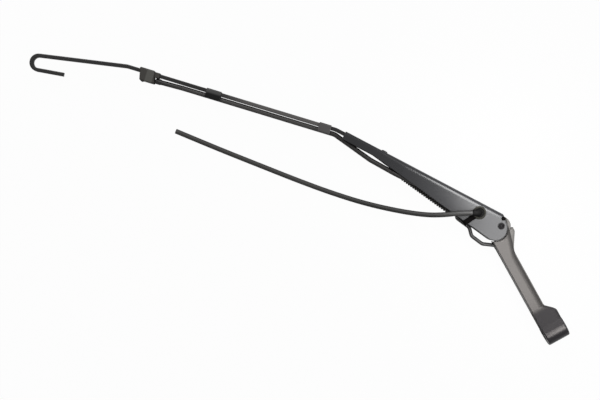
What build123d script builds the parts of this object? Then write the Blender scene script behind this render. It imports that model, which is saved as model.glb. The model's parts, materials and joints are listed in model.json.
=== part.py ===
from build123d import *
import math
import os

os.makedirs("parts", exist_ok=True)

# Wiper arm lying on its side, in millimetres. It is drawn about the arm pivot, with +X from the arm's nose
# to the pivot, +Y towards the outer face of the arm and +Z up, and is then moved so that the spindle axis,
# at the seat of the mounting boss, is the origin.

# Sheet steel channel of the arm
sheet = 1.2
channel_width = 17.2
channel_top = 11.55
channel_front = -180.5
channel_taper_end = -138.0
channel_taper_start = -112.0
nose_end = -146.0
nose_depth = 8.5
top_end = -3.6
bend_radius = 5.0
nose_bend_radius = 3.0
lobe_x = -4.2
lobe_y = -4.9
lobe_radius = 12.3
lobe_upper_angle = 42.0
lobe_lower_angle = -97.0

# Flat bar with the blade hook
bar_thickness = 3.6
bar_width = 9.0
bar_edge = 0.7
bar_fit = 0.05
bar_inner_end = -118.0
bar_bend_x = -190.0
bar_dip_angle = 10.9
bar_second_run = 218.0
bar_tip_angle = 20.8
bar_third_run = 88.2
bar_bend_radius = 16.0
bar_tab_width = 6.4
bar_hole_drop = 5.0
bar_hole_radius = 2.0
bar_tab_thickness = 2.4
hook_radius = 7.2
hook_turn = 176.6
hook_leg = 26.5
rivet_x = -137.0
rivet_radius = 1.8
rivet_head_radius = 3.0
rivet_head_height = 1.1
rivet_dome = 0.8

# Arm pivot
pin_radius = 3.0
pin_running = 0.05
pin_proud = 0.7
pin_edge = 0.55
pin_groove_radius = 1.6
pin_groove = 0.45
washer_thickness = 0.8
washer_radius = 6.5
washer_play = 0.1

# Mounting head
head_angle = 33.3
head_width = 17.2
tongue_radius = 9.8
tongue_edge = 1.0
shoulder_gap = 1.0
lever_top = -0.6
lever_bottom = -14.8
lever_outer_edge = 2.4
lever_inner_edge = 0.8
crest_along = 6.8
crest_height = 9.9
crest_root = 7.8
hump_along = 11.0
hump_height = 9.6
hump_crown = 4.0
hump_end = 27.0
hump_fillet = 16.0
boss_along = 116.5
boss_radius = 11.7
boss_top = 8.5
boss_edge = 1.2
block_start = 90.0
block_along = 98.5
block_fillet = 5.0
block_crown = 3.6
tongue_reach = 18.0
tongue_top = 4.0
slot_end = 26.0
slot_rise = 2.0
spindle_radius = 5.0
nut_recess_radius = 8.2
nut_recess_depth = 7.0
nut_recess_fillet = 0.4

# Tension spring and its link to the head
spring_z = -2.6
spring_radius = 4.6
spring_wire = 2.6
coil_gap = 0.12
eye_gap = 0.2
link_wire = 3.7
link_along = 17.0
link_drop = -10.0
link_reach = 49.0
link_hook_turn = 225.0
link_near = 14.8
link_far = 28.2
link_exit = 35.0
link_bow = 8.9
link_bow_radius = 6.0
link_eye_radius = 5.4
link_eye_thickness = 4.2
link_root_along = 2.7
link_root_rise = 1.8
link_pin_radius = 2.5
link_running = 0.05
slot_clearance = 0.5

# Washer line: feed tube along the bar, clips, jet block, elbow in the wall and the free hose
tube_radius = 2.45
tube_bore = 1.3
tube_offset = 4.85
tube_fit = 0.05
tube_side_gap = 0.1
tube_entry_y = -2.2
tube_spread_x = -120.0
tube_spread = 0.6
tube_run_y = -3.0
tube_bend_radius = 9.0
mid_clip_share = 0.651
mid_clip_length = 15.5
bend_clip_along = 11.6
bend_clip_length = 12.5
clip_top_wall = 0.9
clip_side_wall = 1.1
clip_grip = 0.85
clip_edge = 0.7
jet_block_along = 196.0
jet_block_length = 15.5
jet_block_slant = 3.0
jet_block_width = 13.4
jet_block_top = 3.4
jet_block_bottom = -9.4
jet_block_edge = 1.1
jet_neck_length = 4.4
jet_neck_wall = 0.7
nipple_offset = 5.6
nipple_settle = 28.0
nipple_length = 6.0
ferrule_radius = 2.9
ferrule_length = 5.5
jet_radius = 1.9
jet_bore = 0.5
jet_spacing = 7.0
jet_socket = 1.0
jet_fit = 0.05
elbow_x = -25.5
elbow_y = 1.7
elbow_plug_radius = 5.0
elbow_flange_radius = 6.6
elbow_flange_thickness = 1.8
elbow_recess_radius = 4.9
elbow_recess_depth = 1.2
elbow_spout_radius = 3.2
elbow_bend_radius = 3.7
elbow_spout_length = 3.2
elbow_heading = 208.7
elbow_block_length = 12.0
elbow_block_height = 6.4
elbow_block_depth = 4.6
elbow_lead = 10.0
hose_radius = 2.5
hose_bore = 1.4
hose_lead = 12.0
hose_smoothing = 0.45
hose_route = [
    (-56.7, -17.4, 10.2),
    (-71.8, -25.4, 5.6),
    (-96.5, -34.1, -1.2),
    (-129.9, -43.1, -6.9),
    (-166.1, -49.6, -9.2),
    (-203.1, -54.4, -9.2),
    (-240.7, -58.4, -9.2),
    (-272.9, -61.9, -9.2),
    (-305.1, -65.0, -9.2),
    (-332.1, -67.4, -9.2),
]

inner_half = channel_width / 2 - sheet
wall_face = channel_width / 2
bar_y = channel_top - sheet - bar_fit - bar_thickness / 2
head_turn = Rot(0, 0, -head_angle)


def along_head(along, across):
    angle = math.radians(-head_angle)
    x = along * math.cos(angle) - across * math.sin(angle)
    y = along * math.sin(angle) + across * math.cos(angle)
    return Vector(x, y, 0)


spindle_seat = along_head(boss_along, lever_bottom)
row_place = Pos(-spindle_seat.X, -spindle_seat.Y, 0)


def save(node, solid):
    export_step(row_place * solid, f"parts/{node}.step")
    print(f"{node}: {solid.volume:.0f} mm3")


def plate(face, half):
    return extrude(face, amount=half, both=True)


def polar(angle, radius, centre=(0, 0)):
    turn = math.radians(angle)
    return (centre[0] + radius * math.cos(turn), centre[1] + radius * math.sin(turn))


# Line of pull: from the hole in the bar's inner end, through the spring and the link, to the link pin
eye_radius = spring_wire / 2 + link_wire / 2 + eye_gap
bar_hole = Vector(bar_inner_end + bar_tab_width / 2, bar_y - bar_thickness / 2 - bar_hole_drop)
link_pin_at = along_head(link_along, link_drop)
pull_angle = math.degrees(math.atan2(bar_hole.Y - link_pin_at.Y, bar_hole.X - link_pin_at.X))
pull_place = Pos(link_pin_at.X, link_pin_at.Y, spring_z) * Rot(0, 0, pull_angle)
pull_length = (bar_hole - link_pin_at).length
tongue_half = inner_half - washer_thickness - 2 * washer_play


def channel_side(lower):
    lobe = (lobe_x, lobe_y)
    start = polar(lobe_upper_angle, lobe_radius, lobe)
    middle = polar((lobe_upper_angle + lobe_lower_angle) / 2, lobe_radius, lobe)
    finish = polar(lobe_lower_angle, lobe_radius, lobe)
    edges = [
        Polyline((channel_front, lower), (channel_front, channel_top), (top_end, channel_top), start),
        ThreePointArc(start, middle, finish),
        Polyline(finish, (nose_end, lower), (channel_front, lower)),
    ]
    return make_face(edges)


def channel_form(half, nose_half, top, corner, nose_corner):
    stations = [
        (channel_front, nose_half, nose_corner),
        (channel_taper_end, nose_half, nose_corner),
        (channel_taper_start, half, corner),
        (2 * lobe_radius, half, corner),
    ]
    sections = []
    for x, side, radius in stations:
        section = Pos(top - channel_width, 0) * Rectangle(2 * channel_width, 2 * side)
        section = fillet(section.vertices().group_by(Axis.X)[-1], radius)
        sections.append(Plane.YZ.offset(x) * section)
    return loft(sections, ruled=True)


def make_channel():
    nose_half = bar_width / 2 + bar_fit + sheet
    body = plate(channel_side(channel_top - nose_depth), channel_width)
    body &= channel_form(wall_face, nose_half, channel_top, bend_radius, nose_bend_radius)
    body -= channel_form(inner_half, nose_half - sheet, channel_top - sheet, bend_radius - sheet, bar_edge)
    body -= plate(Circle(pin_radius), channel_width)
    body -= Pos(elbow_x, elbow_y, 0) * extrude(Circle(elbow_plug_radius), amount=channel_width)
    body -= Pos(rivet_x, channel_top, 0) * Rot(90, 0, 0) * Cylinder(rivet_radius, 4 * sheet)
    return body


def bar_line():
    dip = math.radians(180 + bar_dip_angle)
    tip = math.radians(180 + bar_tip_angle)
    bend = Vector(bar_bend_x, bar_y)
    second = bend + Vector(math.cos(dip), math.sin(dip)) * bar_second_run
    third = second + Vector(math.cos(tip), math.sin(tip)) * bar_third_run
    inner_top = Vector(bar_inner_end, bar_y)
    shank = FilletPolyline(inner_top, bend, second, third, radius=bar_bend_radius)
    hook = JernArc(third, (math.cos(tip), math.sin(tip)), hook_radius, hook_turn)
    leg = Line(hook @ 1, (hook @ 1) + (hook % 1) * hook_leg)
    return Wire([*shank.edges(), hook, leg])


def make_bar():
    bar = plate(trace(bar_line(), bar_thickness), bar_width / 2)
    rims = bar.edges().filter_by(lambda edge: abs(abs(edge.center().Z) - bar_width / 2) < 1e-4)
    bar = fillet(rims, bar_edge)
    eye_wall = bar_tab_width / 2
    tab = make_face([
        Polyline((bar_inner_end, bar_hole.Y), (bar_inner_end, bar_y), (bar_hole.X + eye_wall, bar_y),
                 (bar_hole.X + eye_wall, bar_hole.Y)),
        ThreePointArc((bar_hole.X + eye_wall, bar_hole.Y), (bar_hole.X, bar_hole.Y - eye_wall),
                      (bar_inner_end, bar_hole.Y)),
    ])
    tab -= Pos(bar_hole.X, bar_hole.Y) * Circle(bar_hole_radius)
    bar += Pos(0, 0, spring_z) * plate(tab, bar_tab_thickness / 2)
    bar -= Pos(rivet_x, bar_y, 0) * Rot(90, 0, 0) * Cylinder(rivet_radius, 2 * bar_thickness)
    return bar


def make_rivet():
    low = bar_y - bar_thickness / 2
    upright = Pos(rivet_x, 0, 0) * Rot(-90, 0, 0)
    shank = upright * Pos(0, 0, (low + channel_top) / 2) * Cylinder(rivet_radius, channel_top - low)
    head = Cylinder(rivet_head_radius, rivet_head_height)
    head = fillet(head.edges().filter_by(GeomType.CIRCLE).sort_by(Axis.Z)[-1], rivet_dome)
    top = upright * Pos(0, 0, channel_top + rivet_head_height / 2) * head
    under = upright * Pos(0, 0, low - rivet_head_height / 2) * Rot(180, 0, 0) * head
    return shank + top + under


def make_pin():
    pin = Cylinder(pin_radius, channel_width + 2 * pin_proud)
    pin = fillet(pin.edges().filter_by(GeomType.CIRCLE), pin_edge)
    groove = Torus(pin_groove_radius, pin_groove)
    for side in (-1, 1):
        pin -= Pos(0, 0, side * (wall_face + pin_proud)) * groove
    return pin


def make_washer(side):
    ring = extrude(Circle(washer_radius) - Circle(pin_radius + pin_running), amount=washer_thickness)
    return Pos(0, 0, side * (tongue_half + washer_play + washer_thickness / 2) - washer_thickness / 2) * ring


def head_rims(body, low, high):
    def on_rim(edge):
        centre = edge.center()
        on_side = abs(abs(centre.Z) - head_width / 2) < 1e-4
        return on_side and centre.X > crest_root and low < centre.Y < high
    return body.edges().filter_by(on_rim)


def head_body():
    outline = Polyline(
        (0, lever_bottom), (boss_along, lever_bottom), (boss_along, boss_top), (block_along, boss_top),
        (block_start, lever_top), (hump_end, lever_top), (hump_along, hump_height),
        (crest_along, crest_height), (crest_root, 0), (0, 0), close=True)
    face = make_face(outline)
    for corner, radius in (
        ((hump_along, hump_height), hump_crown), ((hump_end, lever_top), hump_fillet),
        ((block_start, lever_top), block_fillet), ((block_along, boss_top), block_crown),
    ):
        face = fillet(face.vertices().sort_by_distance(corner)[0], radius)
    body = plate(face, head_width / 2)
    body = chamfer(head_rims(body, lever_top - 1, 2 * hump_height), lever_outer_edge)
    body = fillet(head_rims(body, lever_bottom - 1, lever_bottom + 1), lever_inner_edge)
    turn_back = math.radians(head_angle)
    lobe_along = lobe_x * math.cos(turn_back) - lobe_y * math.sin(turn_back)
    lobe_across = lobe_x * math.sin(turn_back) + lobe_y * math.cos(turn_back)
    return body - Pos(lobe_along, lobe_across, 0) * plate(Circle(lobe_radius + shoulder_gap), head_width)


def head_tongue():
    flank = tongue_radius - tongue_edge
    neck = make_face(Polyline(
        (0, -flank), (tongue_reach, lever_bottom + lever_inner_edge), (tongue_reach, tongue_top),
        (0, 0), close=True))
    disc = Cylinder(tongue_radius, 2 * tongue_half)
    disc = fillet(disc.edges().filter_by(GeomType.CIRCLE), tongue_edge)
    return disc + plate(neck, tongue_half)


def make_head():
    boss_height = boss_top - lever_bottom
    boss_mid = (boss_top + lever_bottom) / 2
    boss = Cylinder(boss_radius, boss_height)
    boss = fillet(boss.edges().filter_by(GeomType.CIRCLE), boss_edge)
    upright = Pos(boss_along, 0, 0) * Rot(-90, 0, 0)
    head = head_body() + head_tongue() + upright * Pos(0, 0, boss_mid) * boss
    head -= upright * Pos(0, 0, boss_mid) * Cylinder(spindle_radius, 2 * boss_height)
    recess = Cylinder(nut_recess_radius, 2 * nut_recess_depth)
    recess = fillet(recess.edges().filter_by(GeomType.CIRCLE), nut_recess_fillet)
    head -= upright * Pos(0, 0, boss_top) * recess
    slot = make_face(Polyline(
        (-2 * tongue_radius, 2 * lever_bottom), (slot_end, 2 * lever_bottom),
        (slot_end, link_drop + slot_rise), (-tongue_radius, tongue_radius + slot_rise),
        (-2 * tongue_radius, tongue_radius + slot_rise), close=True))
    head -= Pos(0, 0, spring_z) * plate(slot, link_wire / 2 + slot_clearance)
    head -= plate(Circle(pin_radius + pin_running), head_width)
    head -= Pos(link_along, link_drop, 0) * plate(Circle(link_pin_radius), tongue_half)
    return head_turn * head


def make_link_pin():
    pin = plate(Circle(link_pin_radius), tongue_half - washer_play)
    return head_turn * Pos(link_along, link_drop, 0) * pin


def make_spring():
    length = pull_length - link_reach
    start = 2 * eye_radius - spring_wire / 2
    coils = int((length - 2 * start) / (spring_wire + coil_gap))
    pitch = (length - 2 * start) / coils
    valley = spring_radius - spring_wire / 2
    inside = spring_radius - spring_wire
    ridges = []
    for turn in range(coils):
        left = start + turn * pitch
        crest = (left + pitch / 2, spring_radius)
        ridges.append(ThreePointArc((left, valley), crest, (left + pitch, valley)))
    finish = start + coils * pitch
    sides = Polyline((start, valley), (start, inside), (finish, inside), (finish, valley))
    coil = revolve(make_face([*ridges, sides]), Axis.X)
    eye = Rot(90, 0, 0) * Torus(eye_radius, spring_wire / 2)
    spring = coil + Pos(eye_radius, 0, 0) * eye + Pos(length - eye_radius, 0, 0) * eye
    return pull_place * Pos(link_reach, 0, 0) * spring


def make_link():
    bow = FilletPolyline(
        (link_reach, eye_radius), (link_exit, eye_radius), (link_far, link_bow), (link_near, link_bow),
        (link_root_along, link_root_rise), radius=link_bow_radius)
    hook = JernArc(bow @ 0, (1, 0), eye_radius, -link_hook_turn)
    path = Wire([*hook.edges(), *bow.edges()])
    start = hook @ 1
    section = Plane(origin=start, z_dir=hook % 1) * Circle(link_wire / 2)
    wire = sweep(section, path)
    eye = plate(Circle(link_eye_radius), link_eye_thickness / 2)
    link = wire + eye
    link -= plate(Circle(link_pin_radius + link_running), link_eye_thickness)
    return pull_place * link


def run_place(along):
    dip = math.radians(180 + bar_dip_angle)
    x = bar_bend_x + along * math.cos(dip)
    y = bar_y + along * math.sin(dip)
    return Pos(x, y, 0) * Rot(0, 0, bar_dip_angle)


def bar_slot(length):
    return Box(length, bar_thickness + 2 * bar_fit, bar_width + 2 * bar_fit)


def make_clip(along, length):
    top = bar_thickness / 2 + clip_top_wall
    bottom = -tube_offset - clip_grip * tube_radius
    width = bar_width + 2 * bar_fit + 2 * clip_side_wall
    clip = Pos(0, (top + bottom) / 2, 0) * Box(length, top - bottom, width)
    clip = fillet(clip.edges().filter_by(Axis.X), clip_top_wall + clip_side_wall / 2)
    clip = fillet(clip.edges().group_by(Axis.X)[0] + clip.edges().group_by(Axis.X)[-1], clip_edge)
    clip -= bar_slot(2 * length)
    clip -= Pos(0, -tube_offset, 0) * Rot(0, 90, 0) * Cylinder(tube_radius + tube_fit, 2 * length)
    return run_place(along) * clip


def make_jet_block():
    half = jet_block_length / 2
    lean = jet_block_slant / 2
    outline = Polyline(
        (-half - lean, jet_block_top), (half - lean, jet_block_top), (half + lean, jet_block_bottom),
        (lean - half, jet_block_bottom), close=True)
    block = plate(make_face(outline), jet_block_width / 2)
    block = fillet(block.edges(), jet_block_edge)
    wrap = 2 * (bar_fit + jet_neck_wall)
    neck = Box(2 * jet_neck_length, bar_thickness + wrap, bar_width + wrap)
    neck = fillet(neck.edges().group_by(Axis.X)[-1] + neck.edges().filter_by(Axis.X), jet_neck_wall / 2)
    block += Pos(half, 0, 0) * neck
    nipple = Rot(0, 90, 0) * Cylinder(tube_bore, 2 * nipple_length)
    block += Pos(half + lean, -nipple_offset, 0) * nipple
    block -= bar_slot(2 * jet_block_length)
    for side in (-1, 1):
        block -= jet_at(side) * Sphere(jet_radius + jet_fit)
    return run_place(jet_block_along) * block


def jet_at(side):
    return Pos(-jet_block_length / 4, jet_block_bottom + jet_socket, side * jet_spacing / 2)


def make_jets():
    ball = Sphere(jet_radius) - Rot(90, 0, 0) * Cylinder(jet_bore, 3 * jet_radius)
    return Compound([run_place(jet_block_along) * jet_at(side) * ball for side in (-1, 1)])


def tube_start():
    return jet_block_along - jet_block_length / 2 - jet_block_slant / 2


def make_feed_tube():
    beside = inner_half - tube_radius - tube_side_gap
    first = (run_place(tube_start()) * Pos(0, -nipple_offset, 0)).position
    settle = (run_place(tube_start() - nipple_length) * Pos(0, -nipple_offset, 0)).position
    beside_bar = (run_place(tube_start() - nipple_settle) * Pos(0, -tube_offset, 0)).position
    leave = (run_place(0) * Pos(0, -tube_offset, 0)).position
    block_face = elbow_x - elbow_block_length / 2
    path = FilletPolyline(
        first, settle, beside_bar, leave, (nose_end, tube_entry_y, 0),
        (tube_spread_x, tube_run_y, beside * tube_spread),
        (channel_taper_start, tube_run_y, beside), (block_face - elbow_lead, elbow_y, beside),
        (block_face, elbow_y, beside), radius=tube_bend_radius)
    section = Plane(origin=path @ 0, z_dir=path % 0) * (Circle(tube_radius) - Circle(tube_bore))
    return sweep(section, path)


def make_ferrule():
    ring = Circle(ferrule_radius) - Circle(tube_radius)
    ferrule = Rot(0, 90, 0) * extrude(ring, amount=ferrule_length)
    return run_place(tube_start()) * Pos(0, -nipple_offset, 0) * ferrule


def make_elbow():
    foot = Vector(elbow_x, elbow_y, wall_face)
    out = Vector(*polar(elbow_heading, 1), 0)
    block = Pos(elbow_x, elbow_y, inner_half - elbow_block_depth / 2)
    elbow = block * Box(elbow_block_length, elbow_block_height, elbow_block_depth)
    plug = Pos(elbow_x, elbow_y, inner_half) * extrude(Circle(elbow_plug_radius), amount=sheet)
    flange = extrude(Circle(elbow_flange_radius), amount=elbow_flange_thickness)
    flange = fillet(flange.edges().group_by(Axis.Z)[-1], elbow_flange_thickness / 2)
    recess = Pos(0, 0, elbow_flange_thickness - elbow_recess_depth) * Cylinder(
        elbow_recess_radius, elbow_flange_thickness, align=(Align.CENTER, Align.CENTER, Align.MIN))
    flange -= recess
    turn = Plane(origin=foot, x_dir=out, z_dir=out.cross(Vector(0, 0, 1)))
    bend = turn * JernArc((0, 0), (0, 1), elbow_bend_radius, -90)
    line = Wire([bend.edge(), Line(bend @ 1, (bend @ 1) + out * elbow_spout_length)])
    spout = sweep(Plane(origin=foot, z_dir=(0, 0, 1)) * Circle(elbow_spout_radius), line)
    return elbow + plug + Pos(elbow_x, elbow_y, wall_face) * flange + spout


def hose_points():
    out = Vector(*polar(elbow_heading, 1), 0)
    knee = Vector(elbow_x, elbow_y, wall_face + elbow_bend_radius)
    exit_point = knee + out * (elbow_bend_radius + elbow_spout_length)
    return [exit_point, exit_point + out * hose_lead, *[Vector(*point) for point in hose_route]]


def corner_radius(before, corner, after):
    turn = math.radians((corner - before).get_angle(after - corner))
    shorter = min((corner - before).length, (after - corner).length)
    return hose_smoothing * shorter / math.tan(turn / 2)


def make_hose():
    points = hose_points()
    radii = [corner_radius(*points[i - 1:i + 2]) for i in range(1, len(points) - 1)]
    print("hose radii", [round(radius) for radius in radii])
    path = FilletPolyline(*points, radius=radii)
    section = Plane(origin=path @ 0, z_dir=path % 0) * (Circle(hose_radius) - Circle(hose_bore))
    hose = sweep(section, path)
    print(f"hose length {path.length:.1f} mm, section times length {section.area * path.length:.0f} mm3")
    return hose


save("arm_channel", make_channel())
save("hook_bar", make_bar())
save("bar_rivet", make_rivet())
save("hinge_pin", make_pin())
save("hinge_washer_upper", make_washer(1))
save("hinge_washer_lower", make_washer(-1))
save("mounting_head", make_head())
save("link_pin", make_link_pin())
save("tension_spring", make_spring())
save("spring_link", make_link())
save("tube_clip_mid", make_clip(jet_block_along * mid_clip_share, mid_clip_length))
save("tube_clip_bend", make_clip(bend_clip_along, bend_clip_length))
save("jet_block", make_jet_block())
save("spray_jets", make_jets())
save("feed_tube", make_feed_tube())
save("tube_ferrule", make_ferrule())
save("hose_elbow", make_elbow())
save("washer_hose", make_hose())
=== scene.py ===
import json
import math

import bmesh
import bpy
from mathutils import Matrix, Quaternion, Vector


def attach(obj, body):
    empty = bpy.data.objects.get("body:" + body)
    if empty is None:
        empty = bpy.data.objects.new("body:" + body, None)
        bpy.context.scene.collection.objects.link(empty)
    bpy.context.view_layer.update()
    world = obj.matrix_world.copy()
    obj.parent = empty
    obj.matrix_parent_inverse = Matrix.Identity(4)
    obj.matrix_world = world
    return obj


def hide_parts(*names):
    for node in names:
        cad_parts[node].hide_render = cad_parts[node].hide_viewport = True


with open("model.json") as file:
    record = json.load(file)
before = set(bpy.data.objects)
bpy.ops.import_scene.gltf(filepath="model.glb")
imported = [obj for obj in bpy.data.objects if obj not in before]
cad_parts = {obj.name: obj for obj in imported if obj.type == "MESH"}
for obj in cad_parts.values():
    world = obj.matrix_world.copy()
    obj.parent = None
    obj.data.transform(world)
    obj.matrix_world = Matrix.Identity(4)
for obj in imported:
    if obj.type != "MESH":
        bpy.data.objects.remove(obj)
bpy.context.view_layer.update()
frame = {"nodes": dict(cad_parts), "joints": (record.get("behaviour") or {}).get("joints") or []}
nodes = frame["nodes"]
scene = bpy.context.scene
pivotJoint = next(joint for joint in frame["joints"] if joint["name"] == "arm_pivot")
pivot = Vector(pivotJoint["pos_m"])
upward = Vector((0, 0, 1))
print("frame loaded:", len(nodes), "nodes")


def metres(millimetres):
    return millimetres / 1000


def onArm(x, y, z=0.0):  # millimetres about the arm pivot, to the row frame in metres
    return pivot + metres(Vector((x, y, z)))


# camera: straight above the arm as it lies, turned so that the arm runs down to the right
cameraSetup = {
    "lookAt": (-189.2, -70.4, 0.0),
    "turn": 27.8,
    "distance": 1.5,
    "lens": 90.0,
    "sensor": 36.0,
    "clipEnd": 50.0,
}


def makeCamera(setup):
    data = bpy.data.cameras.new("camera")
    data.lens = setup["lens"]
    data.sensor_width = setup["sensor"]
    data.clip_end = setup["clipEnd"]
    camera = bpy.data.objects.new("camera", data)
    turn = math.radians(setup["turn"])
    camera.location = onArm(*setup["lookAt"]) + upward * setup["distance"]
    camera.rotation_euler = (0, 0, turn)
    scene.collection.objects.link(camera)
    scene.camera = camera
    return Vector((math.cos(turn), math.sin(turn), 0)), Vector((-math.sin(turn), math.cos(turn), 0))


screenRight, screenUp = makeCamera(cameraSetup)
print("camera set")


# small mesh helpers
def addMesh(name, mesh, material, body):
    piece = bpy.data.objects.new(name, mesh)
    scene.collection.objects.link(piece)
    for polygon in mesh.polygons:
        polygon.use_smooth = True
    mesh.materials.append(material)
    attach(piece, body)
    return piece


def tangentsOf(points):
    last = len(points) - 1
    return [(points[min(index + 1, last)] - points[max(index - 1, 0)]).normalized() for index in range(last + 1)]


def frameAlong(points):  # a steady side and up vector at each point of a line
    tangents = tangentsOf(points)
    side = tangents[0].orthogonal().normalized()
    frames = []
    for tangent in tangents:
        side = (side - tangent * side.dot(tangent)).normalized()
        frames.append((side, tangent.cross(side)))
    return frames


def ringAt(mesh, centre, axes, radius, sides):
    ring = []
    for step in range(sides):
        angle = 2 * math.pi * step / sides
        place = centre + axes[0] * radius * math.cos(angle) + axes[1] * radius * math.sin(angle)
        ring.append(mesh.verts.new(place))
    return ring


def skinRings(name, mesh, rings):  # joins the rings in order and caps both ends
    for first, second in zip(rings, rings[1:]):
        for step in range(len(first)):
            after = (step + 1) % len(first)
            mesh.faces.new((first[step], first[after], second[after], second[step]))
    mesh.faces.new(reversed(rings[0]))
    mesh.faces.new(rings[-1])
    bmesh.ops.recalc_face_normals(mesh, faces=mesh.faces)
    data = bpy.data.meshes.new(name)
    mesh.to_mesh(data)
    mesh.free()
    return data


def tubeMesh(name, points, radius, sides, endRound=0.0003, bore=0.0, boreDepth=0.0):
    mesh = bmesh.new()
    frames = frameAlong(points)
    startIn = (points[1] - points[0]).normalized()
    endIn = (points[-2] - points[-1]).normalized()
    inner = bore + endRound if bore else radius - 2 * endRound
    profile = [(0.0, inner), (0.0, radius - endRound), (endRound, radius)]  # depth and radius, outwards
    if bore:  # the hollow of each end
        profile = [(boreDepth, bore), (endRound, bore)] + profile
    rings = [ringAt(mesh, points[0] + startIn * depth, frames[0], size, sides) for depth, size in profile]
    for point, axes in zip(points[1:-1], frames[1:-1]):
        rings.append(ringAt(mesh, point, axes, radius, sides))
    for depth, size in reversed(profile):
        rings.append(ringAt(mesh, points[-1] + endIn * depth, frames[-1], size, sides))
    return skinRings(name, mesh, rings)


def splinePoints(route, resolution):  # points along the route's own smooth line
    curve = bpy.data.curves.new("routeLine", "CURVE")
    curve.dimensions = "3D"
    curve.resolution_u = resolution
    spline = curve.splines.new("NURBS")
    spline.points.add(len(route) - 1)
    for point, place in zip(spline.points, route):
        point.co = (*place, 1.0)
    spline.order_u = 3
    spline.use_endpoint_u = True
    holder = bpy.data.objects.new("routeLine", curve)
    line = bpy.data.meshes.new_from_object(holder)
    points = [vertex.co.copy() for vertex in line.vertices]
    bpy.data.objects.remove(holder)
    bpy.data.meshes.remove(line)
    bpy.data.curves.remove(curve)
    return points


# small node helpers; wherever a value is taken, a socket to link from may stand in its place
def feed(tree, socket, source):
    if isinstance(source, bpy.types.NodeSocket):
        tree.links.new(source, socket)
    else:
        socket.default_value = source


def feedAll(tree, node, inputs):
    for key, source in inputs.items():
        feed(tree, node.inputs[key], source)


def addNode(tree, kind, inputs=None, **properties):
    node = tree.nodes.new(kind)
    for key, value in properties.items():
        setattr(node, key, value)
    feedAll(tree, node, inputs or {})
    return node


def mathOf(tree, operation, *terms):
    return addNode(tree, "ShaderNodeMath", dict(enumerate(terms)), operation=operation).outputs[0]


def dotOf(tree, first, second):
    return addNode(tree, "ShaderNodeVectorMath", {0: first, 1: second}, operation="DOT_PRODUCT").outputs["Value"]


def rampOf(tree, source, start, end, low=0.0, high=1.0):
    limits = {"From Min": start, "From Max": end, "To Min": low, "To Max": high}
    return addNode(tree, "ShaderNodeMapRange", {"Value": source, **limits}).outputs[0]


def noiseOf(tree, scale, detail, roughness=0.5):
    place = addNode(tree, "ShaderNodeTexCoord").outputs["Object"]
    inputs = {"Vector": place, "Scale": scale, "Detail": detail, "Roughness": roughness}
    return addNode(tree, "ShaderNodeTexNoise", inputs).outputs["Fac"]


def stationAlong(tree, axis, source="Object"):  # distance of the point, or share of the normal, along an axis
    return dotOf(tree, addNode(tree, "ShaderNodeTexCoord").outputs[source], axis)


def bandOf(tree, axis, start, end, fade):  # 1 between two stations; fades in before the first, out by the second
    station = stationAlong(tree, axis)
    shortFade = fade / 4
    return mathOf(tree, "MULTIPLY", rampOf(tree, station, start - fade, start),
                  rampOf(tree, station, end - shortFade, end, 1.0, 0.0))


def tintWhere(tree, colour, mask, tint):
    inputs = {"Factor": mask, "A": colour, "B": (*tint, 1)}
    return addNode(tree, "ShaderNodeMix", inputs, data_type="RGBA").outputs["Result"]


def dullWhere(tree, gloss, mask, coarse):
    return addNode(tree, "ShaderNodeMix", {"Factor": mask, "A": gloss, "B": coarse}).outputs["Result"]


# shader groups that all finishes share
floatKind, colourKind, vectorKind = "NodeSocketFloat", "NodeSocketColor", "NodeSocketVector"


def startGroup(name, inputs, outputs):
    tree = bpy.data.node_groups.new(name, "ShaderNodeTree")
    for label, kind, value in inputs:
        socket = tree.interface.new_socket(name=label, in_out="INPUT", socket_type=kind)
        socket.default_value = value
    for label, kind in outputs:
        tree.interface.new_socket(name=label, in_out="OUTPUT", socket_type=kind)
    return tree, tree.nodes.new("NodeGroupInput").outputs, tree.nodes.new("NodeGroupOutput")


def makeFilmGroup():  # painted or moulded skin: cloudy tint, uneven gloss, fine grain
    tree, given, result = startGroup(
        "skinFilm",
        [("Tint", colourKind, (0.03, 0.03, 0.03, 1)), ("Cloud", floatKind, 0.2), ("Grain Scale", floatKind, 1400.0),
         ("Gloss Low", floatKind, 0.3), ("Gloss High", floatKind, 0.45)],
        [("Colour", colourKind), ("Roughness", floatKind), ("Height", floatKind)])
    clouds = noiseOf(tree, 38.0, 4.0, 0.6)
    grain = noiseOf(tree, given["Grain Scale"], 3.0, 0.55)
    spread = mathOf(tree, "MULTIPLY", clouds, given["Cloud"])
    lift = mathOf(tree, "MULTIPLY_ADD", spread, 2.0, 1.0)
    level = mathOf(tree, "SUBTRACT", lift, given["Cloud"])  # about 1, by the cloud's share up or down
    tint = addNode(tree, "ShaderNodeVectorMath", {0: given["Tint"], 1: level}, operation="MULTIPLY")
    blend = mathOf(tree, "ADD", clouds, grain)
    gloss = rampOf(tree, blend, 0.7, 1.3, given["Gloss Low"], given["Gloss High"])
    feedAll(tree, result, {"Colour": tint.outputs[0], "Roughness": gloss, "Height": grain})
    return tree


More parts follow.
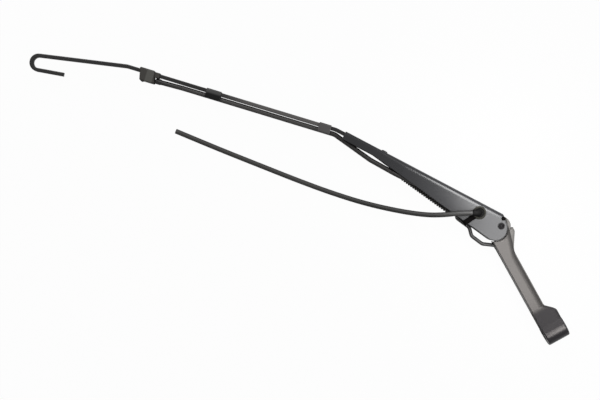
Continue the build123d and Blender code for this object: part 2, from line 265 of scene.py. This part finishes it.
def makeEdgeGroup():  # softened edges, how far the skin turns there, and where they are thinly rubbed
    tree, given, result = startGroup(
        "edgeRub", [("Reach", floatKind, 0.0004), ("Amount", floatKind, 0.0)],
        [("Mask", floatKind), ("Turn", floatKind), ("Soft Normal", vectorKind)])
    soft = addNode(tree, "ShaderNodeBevel", {"Radius": given["Reach"]}, samples=6).outputs[0]
    turn = dotOf(tree, soft, addNode(tree, "ShaderNodeNewGeometry").outputs["Normal"])
    onEdge = rampOf(tree, turn, 0.995, 0.85)
    patches = rampOf(tree, noiseOf(tree, 260.0, 3.0), 0.42, 0.66)
    worn = mathOf(tree, "MULTIPLY", onEdge, patches)
    mask = mathOf(tree, "MULTIPLY", worn, given["Amount"])
    feedAll(tree, result, {"Mask": mask, "Turn": turn, "Soft Normal": soft})
    return tree


filmGroup = makeFilmGroup()
edgeGroup = makeEdgeGroup()

bumpDistance = 0.0001
paintedShadeTurn = (0.999, 0.965)  # an edge's turn at which its painted shade starts and is full
sideLightTurn = (0.30, 0.55)  # the normal's share along a side at which the side's painted light starts and is full


def makeFinish(name, look):
    material = bpy.data.materials.new(name)
    material.use_nodes = True
    tree = material.node_tree
    reach = look["edge"]
    rub, rubTint = look.get("rub", (0.0, None))
    if "wideEdge" in look:  # softer edges on one side of the piece
        axis, start, end, wide = look["wideEdge"]
        reach = rampOf(tree, stationAlong(tree, axis), start, end, reach, wide)
    edge = addNode(tree, "ShaderNodeGroup", {"Reach": reach, "Amount": rub}, node_tree=edgeGroup)
    glossLow, glossHigh = look["gloss"]
    filmInputs = {"Tint": (*look["tint"], 1), "Cloud": look["cloud"], "Grain Scale": look["grain"],
                  "Gloss Low": glossLow, "Gloss High": glossHigh}
    film = addNode(tree, "ShaderNodeGroup", filmInputs, node_tree=filmGroup)
    colour, gloss = film.outputs["Colour"], film.outputs["Roughness"]
    for *band, tint in look.get("tintBands", ()):  # another tint between two stations along an axis
        colour = tintWhere(tree, colour, bandOf(tree, *band), tint)
    for *band, coarse in look.get("dullBands", ()):  # a coarser skin between two stations
        gloss = dullWhere(tree, gloss, bandOf(tree, *band), coarse)
    if "paintedEdgeShade" in look:  # painted shade: dull, darker edges between two stations
        shade = look["paintedEdgeShade"]
        turned = rampOf(tree, edge.outputs["Turn"], *paintedShadeTurn)
        shaded = mathOf(tree, "MULTIPLY", turned, bandOf(tree, *shade["band"]))
        colour = tintWhere(tree, colour, shaded, shade["tint"])
        gloss = dullWhere(tree, gloss, shaded, shade["dull"])
    for side, band, tint in look.get("paintedSideLight", ()):  # painted light: a paler tint where the skin faces one side
        turned = rampOf(tree, stationAlong(tree, side, "Normal"), *sideLightTurn)
        colour = tintWhere(tree, colour, mathOf(tree, "MULTIPLY", turned, bandOf(tree, *band)), tint)
    if "paintedRim" in look:  # past the nearer of two lines: a pale painted highlight, with a dull strip before it
        paintedRim = look["paintedRim"]
        rimBand = bandOf(tree, *paintedRim["band"])
        offsets = [mathOf(tree, "SUBTRACT", stationAlong(tree, axis), line) for axis, line in paintedRim["lines"]]
        past = mathOf(tree, "MINIMUM", *offsets)
        pale = mathOf(tree, "MULTIPLY", rimBand, rampOf(tree, past, *paintedRim["fade"]))
        dull = mathOf(tree, "MULTIPLY", rimBand, rampOf(tree, past, -paintedRim["strip"], 0.0))
        colour = tintWhere(tree, colour, pale, paintedRim["tint"])
        gloss = dullWhere(tree, gloss, dull, paintedRim["dull"])
    if rub:  # edges rubbed a little paler
        colour = tintWhere(tree, colour, edge.outputs["Mask"], rubTint)
    bump = addNode(tree, "ShaderNodeBump", {"Height": film.outputs["Height"], "Normal": edge.outputs["Soft Normal"],
                                            "Strength": look["bump"], "Distance": bumpDistance})
    feedAll(tree, tree.nodes["Principled BSDF"], {
        "Base Color": colour, "Roughness": gloss, "Normal": bump.outputs["Normal"],
        "Metallic": look.get("metal", 0.0), "Specular IOR Level": look.get("specular", 0.5),
        "Specular Tint": (*look.get("sheen", (1, 1, 1)), 1)})
    return material


# directions along which the finishes change, and the finishes; lengths in metres from the row's origin
alongArm = (1.0, 0.0, 0.0)
leverAlong, leverOuter, leverInner = (0.836, -0.549, 0.0), (0.549, 0.836, 0.0), (-0.549, -0.836, 0.0)
bossOuter = (0.771, 0.690, 0.0)
barAlong, barOuter = (0.980, 0.198, 0.0), (-0.198, 0.980, 0.0)
finishLooks = {
    "armPaint": {
        "tint": (0.012, 0.012, 0.0135), "cloud": 0.12, "grain": 1500.0, "gloss": (0.28, 0.33), "bump": 0.05,
        "edge": 0.0008, "wideEdge": (alongArm, -0.118, -0.112, 0.0016),
        # painted shade: the wall's edges round the lobe darkened, for the shadow in the gap there
        "paintedEdgeShade": {"band": (alongArm, -0.115, 0.05, 0.004), "tint": (0.002, 0.0018, 0.0018), "dull": 1.0},
    },
    "headPaint": {
        "tint": (0.014, 0.0135, 0.013), "cloud": 0.18, "grain": 1100.0, "gloss": (0.28, 0.34), "bump": 0.08,
        "edge": 0.0006, "wideEdge": (leverOuter, 0.004, 0.008, 0.0035), "sheen": (1.0, 0.94, 0.905),
        # painted shade: the boss block's flat face tinted darker and bluer, for the shade it lies in
        "tintBands": [(leverAlong, -0.0215, 0.040, 0.006, (0.0048, 0.0047, 0.0066))],
        "dullBands": [(leverAlong, -0.0235, -0.0010, 0.004, 0.8)],
        # painted light: the lever's inner side paler, for light falling on it from below
        "paintedSideLight": [(leverInner, (leverAlong, -0.100, -0.015, 0.080), (0.040, 0.0385, 0.037))],
        # painted highlight: a pale strip along the lever's outer edge, for the lamp's reflection in its chamfer
        "paintedRim": {"band": (leverAlong, -0.125, -0.027, 0.002), "lines": [(leverOuter, 0.0122), (bossOuter, -0.0100)],
                "strip": 0.0045, "fade": (0.0008, 0.0016), "tint": (0.085, 0.082, 0.079), "dull": 1.0},
    },
    "barPaint": {
        "tint": (0.010, 0.0092, 0.009), "cloud": 0.15, "grain": 1700.0, "gloss": (0.28, 0.36), "bump": 0.06,
        "edge": 0.0003, "rub": (0.25, (0.06, 0.056, 0.053)),
        # painted light: the bar paler between the clips, for the light it catches there
        "tintBands": [(barAlong, -0.350, -0.262, 0.030, (0.075, 0.070, 0.068))],
    },
    "darkSteel": {
        "tint": (0.030, 0.029, 0.029), "cloud": 0.20, "grain": 2300.0, "gloss": (0.36, 0.48), "bump": 0.10,
        "edge": 0.0003, "rub": (0.3, (0.10, 0.096, 0.092)), "metal": 0.5,
    },
    "springSteel": {
        "tint": (0.016, 0.014, 0.013), "cloud": 0.25, "grain": 2600.0, "gloss": (0.34, 0.46), "bump": 0.10,
        "edge": 0.0002, "rub": (0.2, (0.08, 0.075, 0.07)), "metal": 0.5,
    },
    "pinSteel": {
        "tint": (0.005, 0.0043, 0.005), "cloud": 0.2, "grain": 2000.0, "gloss": (0.42, 0.52), "bump": 0.08,
        "edge": 0.0006, "specular": 0.08,
    },
    "clipPlastic": {
        "tint": (0.006, 0.006, 0.006), "cloud": 0.10, "grain": 2100.0, "gloss": (0.28, 0.36), "bump": 0.08,
        "edge": 0.0003, "rub": (0.15, (0.03, 0.03, 0.03)), "specular": 0.2,
        # painted light: the mid clip's upper side paler, for the light falling on it
        "tintBands": [(barOuter, 0.1392, 0.156, 0.002, (0.060, 0.060, 0.059))],
    },
    "bendPlastic": {
        "tint": (0.050, 0.047, 0.047), "cloud": 0.12, "grain": 1900.0, "gloss": (0.42, 0.52), "bump": 0.14,
        "edge": 0.0003, "rub": (0.2, (0.12, 0.115, 0.11)),
    },
    "blockPlastic": {
        "tint": (0.024, 0.021, 0.017), "cloud": 0.12, "grain": 1600.0, "gloss": (0.45, 0.56), "bump": 0.2,
        "edge": 0.0004, "rub": (0.3, (0.10, 0.09, 0.075)),
        "tintBands": [(barAlong, -0.4535, -0.4465, 0.0008, (0.058, 0.056, 0.049))],
    },
    "jetPlastic": {
        "tint": (0.02, 0.02, 0.02), "cloud": 0.1, "grain": 2600.0, "gloss": (0.35, 0.45), "bump": 0.1,
        "edge": 0.0002, "rub": (0.1, (0.06, 0.06, 0.06)),
    },
    "hoseRubber": {
        "tint": (0.030, 0.0285, 0.0265), "cloud": 0.16, "grain": 1900.0, "gloss": (0.50, 0.62), "bump": 0.14,
        "edge": 0.0002,
        # painted shade: the hose darkened over its last stretch to the grommet
        "tintBands": [(alongArm, -0.215, 0.0, 0.070, (0.008, 0.0075, 0.007))],
    },
    "tubeRubber": {
        "tint": (0.014, 0.0125, 0.012), "cloud": 0.14, "grain": 1900.0, "gloss": (0.36, 0.46), "bump": 0.10,
        "edge": 0.0002,
        # painted light: the tube paler between the clips, for the light it catches there
        "tintBands": [(barAlong, -0.400, -0.262, 0.040, (0.042, 0.039, 0.038))],
    },
    "grommetRubber": {
        # painted shade: near-black everywhere but the flange ring, for the shade inside the opening
        "tint": (0.0016, 0.0015, 0.0015), "cloud": 0.15, "grain": 1700.0, "gloss": (0.60, 0.70), "bump": 0.16,
        "edge": 0.0003, "specular": 0.1,
        "tintBands": [(upward, 0.0093, 0.0105, 0.0001, (0.016, 0.0155, 0.0125))],
    },
    # near-black rubber: the stop button's colour, and on the strap a painted shadow
    "blackRubberAndPaintedShadow": {
        "tint": (0.0014, 0.0011, 0.0011), "cloud": 0.15, "grain": 1700.0, "gloss": (0.60, 0.70), "bump": 0.14,
        "edge": 0.0003, "specular": 0.02,
    },
    "washerNylon": {
        "tint": (0.018, 0.0175, 0.016), "cloud": 0.06, "grain": 1500.0, "gloss": (0.40, 0.50), "bump": 0.1,
        "edge": 0.0002,
    },
}
finish = {name: makeFinish(name, look) for name, look in finishLooks.items()}
print("finishes:", len(finish))

nodeFinish = {
    "arm_channel": "armPaint", "hook_bar": "barPaint", "bar_rivet": "armPaint", "hinge_pin": "pinSteel",
    "hinge_washer_upper": "washerNylon", "hinge_washer_lower": "washerNylon", "mounting_head": "headPaint",
    "link_pin": "darkSteel", "spring_link": "darkSteel", "tube_clip_mid": "clipPlastic",
    "tube_clip_bend": "bendPlastic", "jet_block": "blockPlastic", "spray_jets": "jetPlastic",
    "feed_tube": "tubeRubber", "tube_ferrule": "tubeRubber", "hose_elbow": "grommetRubber",
}
for node, look in nodeFinish.items():
    nodes[node].data.materials.clear()
    nodes[node].data.materials.append(finish[look])

# free washer hose: the same route as its solid, from the elbow's spout to the cut end
hoseSetup = {
    "route": [
        (-31.55, -1.61, 12.3), (-42.08, -7.38, 12.3), (-56.7, -17.4, 10.2), (-71.8, -25.4, 5.6),
        (-96.5, -34.1, -1.2), (-129.9, -43.1, -6.9), (-166.1, -49.6, -9.2), (-203.1, -54.4, -9.2),
        (-240.7, -58.4, -9.2), (-272.9, -61.9, -9.2), (-305.1, -65.0, -9.2), (-332.1, -67.4, -9.2),
    ],
    "resolution": 12,
    "sides": 28,
    "radius": 0.0025,
    "bore": 0.0014,
    "boreDepth": 0.012,
    "length": 0.3133,
}


def makeHose(setup):
    line = splinePoints([onArm(*place) for place in setup["route"]], setup["resolution"])
    mesh = tubeMesh("freeHose", line, setup["radius"], setup["sides"], bore=setup["bore"],
                    boreDepth=setup["boreDepth"])
    hose = addMesh("freeHose", mesh, finish["hoseRubber"], "arm")
    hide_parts("washer_hose")


makeHose(hoseSetup)
print("hose laid")

# painted shadow: a near-black strap from the grommet, lying on the wall and hooking round its lower edge, put where
# the hose casts its shadow
shadowStrapSetup = {
    "line": [
        (-26.2, 0.2, 9.35), (-28.6, -4.3, 9.35), (-31.0, -8.8, 9.35), (-32.9, -12.4, 9.4), (-33.7, -14.0, 9.3),
        (-34.1, -14.7, 8.7), (-34.1, -14.8, 7.8), (-33.9, -14.3, 6.9), (-33.3, -13.2, 6.6), (-32.4, -11.5, 6.6),
    ],
    "wide": 5.4,
    "thick": 1.3,
    "wideRound": 0.4,  # 1 is an ellipse, less is squarer
    "thickRound": 0.6,
    "sides": 20,
}


def squarer(share, rounding):
    return math.copysign(abs(share) ** rounding, share)


def makeShadowStrap(setup):
    points = [onArm(*place) for place in setup["line"]]
    across = upward.cross(points[1] - points[0]).normalized()
    mesh = bmesh.new()
    rings = []
    for point, tangent in zip(points, tangentsOf(points)):
        lift = tangent.cross(across)
        ring = []
        for step in range(setup["sides"]):
            angle = 2 * math.pi * step / setup["sides"]
            wide = squarer(math.cos(angle), setup["wideRound"]) * metres(setup["wide"]) / 2
            thick = squarer(math.sin(angle), setup["thickRound"]) * metres(setup["thick"]) / 2
            ring.append(mesh.verts.new(point + across * wide + lift * thick))
        rings.append(ring)
    addMesh("hoseShadowStrap", skinRings("hoseShadowStrap", mesh, rings), finish["blackRubberAndPaintedShadow"], "arm")


makeShadowStrap(shadowStrapSetup)

# rubber stop button in the wall, at the end of the roof
buttonSetup = {"at": (-1.7, 7.6, 8.65), "radius": 2.1, "rise": 0.6, "sides": 24}


def makeButton(setup):
    foot = onArm(*setup["at"])
    rise = upward * metres(setup["rise"])
    mesh = tubeMesh("stopButton", [foot, foot + rise / 2, foot + rise], metres(setup["radius"]), setup["sides"])
    addMesh("stopButton", mesh, finish["blackRubberAndPaintedShadow"], "arm")


makeButton(buttonSetup)
print("rubber pieces made")

# tension spring: a true close-wound coil with a hook at each end, tilted so that it shows below the wall's edge
springSetup = {
    "barEnd": (-114.8, -0.1),
    "linkEnd": (8.719, -17.6),
    "height": -2.6,
    "reach": 49.0,  # of the link, from its pin to the spring
    "coilRadius": 3.3,
    "turns": 23,
    "perTurn": 26,
    "wire": 1.3,
    "wireSides": 12,
    "wireRound": 0.0002,
    "eyeRadius": 3.35,
    "eyeSteps": 12,
    "nearHook": (-150, 100),  # degrees swept, from the tip to the coil
    "farHook": (80, -170),
}


def hookPoints(setup, sweep, centre, outward):
    eye, steps = setup["eyeRadius"], setup["eyeSteps"]
    first, last = sweep
    points = []
    for step in range(steps + 1):
        angle = math.radians(first + (last - first) * step / steps)
        points.append((centre + outward * eye * math.cos(angle), 0.0, eye * math.sin(angle)))
    return points


def makeSpring(setup):
    near = Vector((*setup["linkEnd"], setup["height"]))
    far = Vector((*setup["barEnd"], setup["height"]))
    axis = (far - near).normalized()
    across = Vector((-axis.y, axis.x, 0))
    start = near + axis * setup["reach"]
    length = (far - near).length - setup["reach"]
    eye, radius = setup["eyeRadius"], setup["coilRadius"]
    lead = 2 * eye
    coil = length - 2 * lead
    steps = setup["turns"] * setup["perTurn"]
    local = hookPoints(setup, setup["nearHook"], eye, -1)
    for step in range(steps + 1):
        angle = math.pi / 2 + 2 * math.pi * step / setup["perTurn"]
        local.append((lead + coil * step / steps, radius * math.cos(angle), radius * math.sin(angle)))
    local += hookPoints(setup, setup["farHook"], length - eye, 1)
    points = [onArm(*(start + axis * x + across * y + upward * z)) for x, y, z in local]
    mesh = tubeMesh("coilSpring", points, metres(setup["wire"]), setup["wireSides"], endRound=setup["wireRound"])
    spring = addMesh("coilSpring", mesh, finish["springSteel"], "arm")
    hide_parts("tension_spring")


makeSpring(springSetup)
print("spring wound")

# floor, light and background
studioSetup = {
    "floorLevel": -11.75,
    "floorSize": 6.0,
    "floorTint": (0.3, 0.3, 0.3),
    "floorWhite": 0.975,
    "floorGloss": 0.06,
    "world": 0.45,
    "lamps": {  # places in metres right, up and high of the picture's centre; straight down without an aim
        "sheen": {"at": (0.2280, -0.0717, 0.110), "size": (0.090, 0.120), "spin": 56.8, "power": 0.215},
        "strip": {"at": (0.204, 0.050, 0.110), "size": (0.085, 0.105), "spin": 49.8, "power": 0.38},
        "boss": {"at": (0.302, -0.157, 0.110), "size": (0.060, 0.060), "spin": 56.8, "power": 0.115},
        "soft": {"at": (-0.35, 0.96, 0.80), "aim": (0.0, 0.0, 0.0), "size": (1.2, 0.9), "spin": 0.0, "power": 11.5},
    },
}
pictureCentre = onArm(*cameraSetup["lookAt"])


def makeFloor(setup):
    mesh = bpy.data.meshes.new("floor")
    half = setup["floorSize"] / 2
    level = metres(setup["floorLevel"])
    corners = [(-half, -half), (half, -half), (half, half), (-half, half)]
    mesh.from_pydata([(pictureCentre.x + x, pictureCentre.y + y, level) for x, y in corners], [], [(0, 1, 2, 3)])
    floor = bpy.data.objects.new("floor", mesh)
    scene.collection.objects.link(floor)
    material = bpy.data.materials.new("paleFloor")
    material.use_nodes = True
    tree = material.node_tree
    tree.nodes.remove(tree.nodes["Principled BSDF"])
    paper = addNode(tree, "ShaderNodeBsdfDiffuse", {"Color": (*setup["floorTint"], 1)})
    white = addNode(tree, "ShaderNodeEmission", {"Strength": 1.0})
    path = addNode(tree, "ShaderNodeLightPath").outputs
    seen = mathOf(tree, "MAXIMUM", path["Is Camera Ray"], path["Is Transmission Ray"])
    direct = mathOf(tree, "MULTIPLY", seen, setup["floorWhite"])
    mirrored = mathOf(tree, "MULTIPLY", path["Is Glossy Ray"], setup["floorGloss"])
    share = mathOf(tree, "MAXIMUM", direct, mirrored)
    mix = addNode(tree, "ShaderNodeMixShader", {0: share, 1: paper.outputs[0], 2: white.outputs[0]})
    feed(tree, tree.nodes["Material Output"].inputs["Surface"], mix.outputs[0])
    mesh.materials.append(material)


def makeWorld(setup):
    world = bpy.data.worlds.new("studio")
    scene.world = world
    world.use_nodes = True
    tree = world.node_tree
    back = tree.nodes["Background"]
    seen = addNode(tree, "ShaderNodeLightPath").outputs["Is Camera Ray"]
    feedAll(tree, back, {"Color": (1, 1, 1, 1), "Strength": rampOf(tree, seen, 0.0, 1.0, setup["world"], 1.0)})


def onScreen(right, up, high):
    return pictureCentre + screenRight * right + screenUp * up + upward * high


def makeLamp(name, setup):
    data = bpy.data.lights.new(name, "AREA")
    data.shape = "RECTANGLE"
    data.size, data.size_y = setup["size"]
    data.energy = setup["power"]
    lamp = bpy.data.objects.new(name, data)
    lamp.location = onScreen(*setup["at"])
    below = (*setup["at"][:2], 0.0)
    facing = (onScreen(*setup.get("aim", below)) - lamp.location).to_track_quat("-Z", "Y")
    lamp.rotation_euler = (facing @ Quaternion(upward, math.radians(setup["spin"]))).to_euler()
    scene.collection.objects.link(lamp)


makeFloor(studioSetup)
makeWorld(studioSetup)
for name, lampSetup in studioSetup["lamps"].items():
    makeLamp(name + "Lamp", lampSetup)
scene.view_settings.view_transform = "Standard"
print("studio lit")
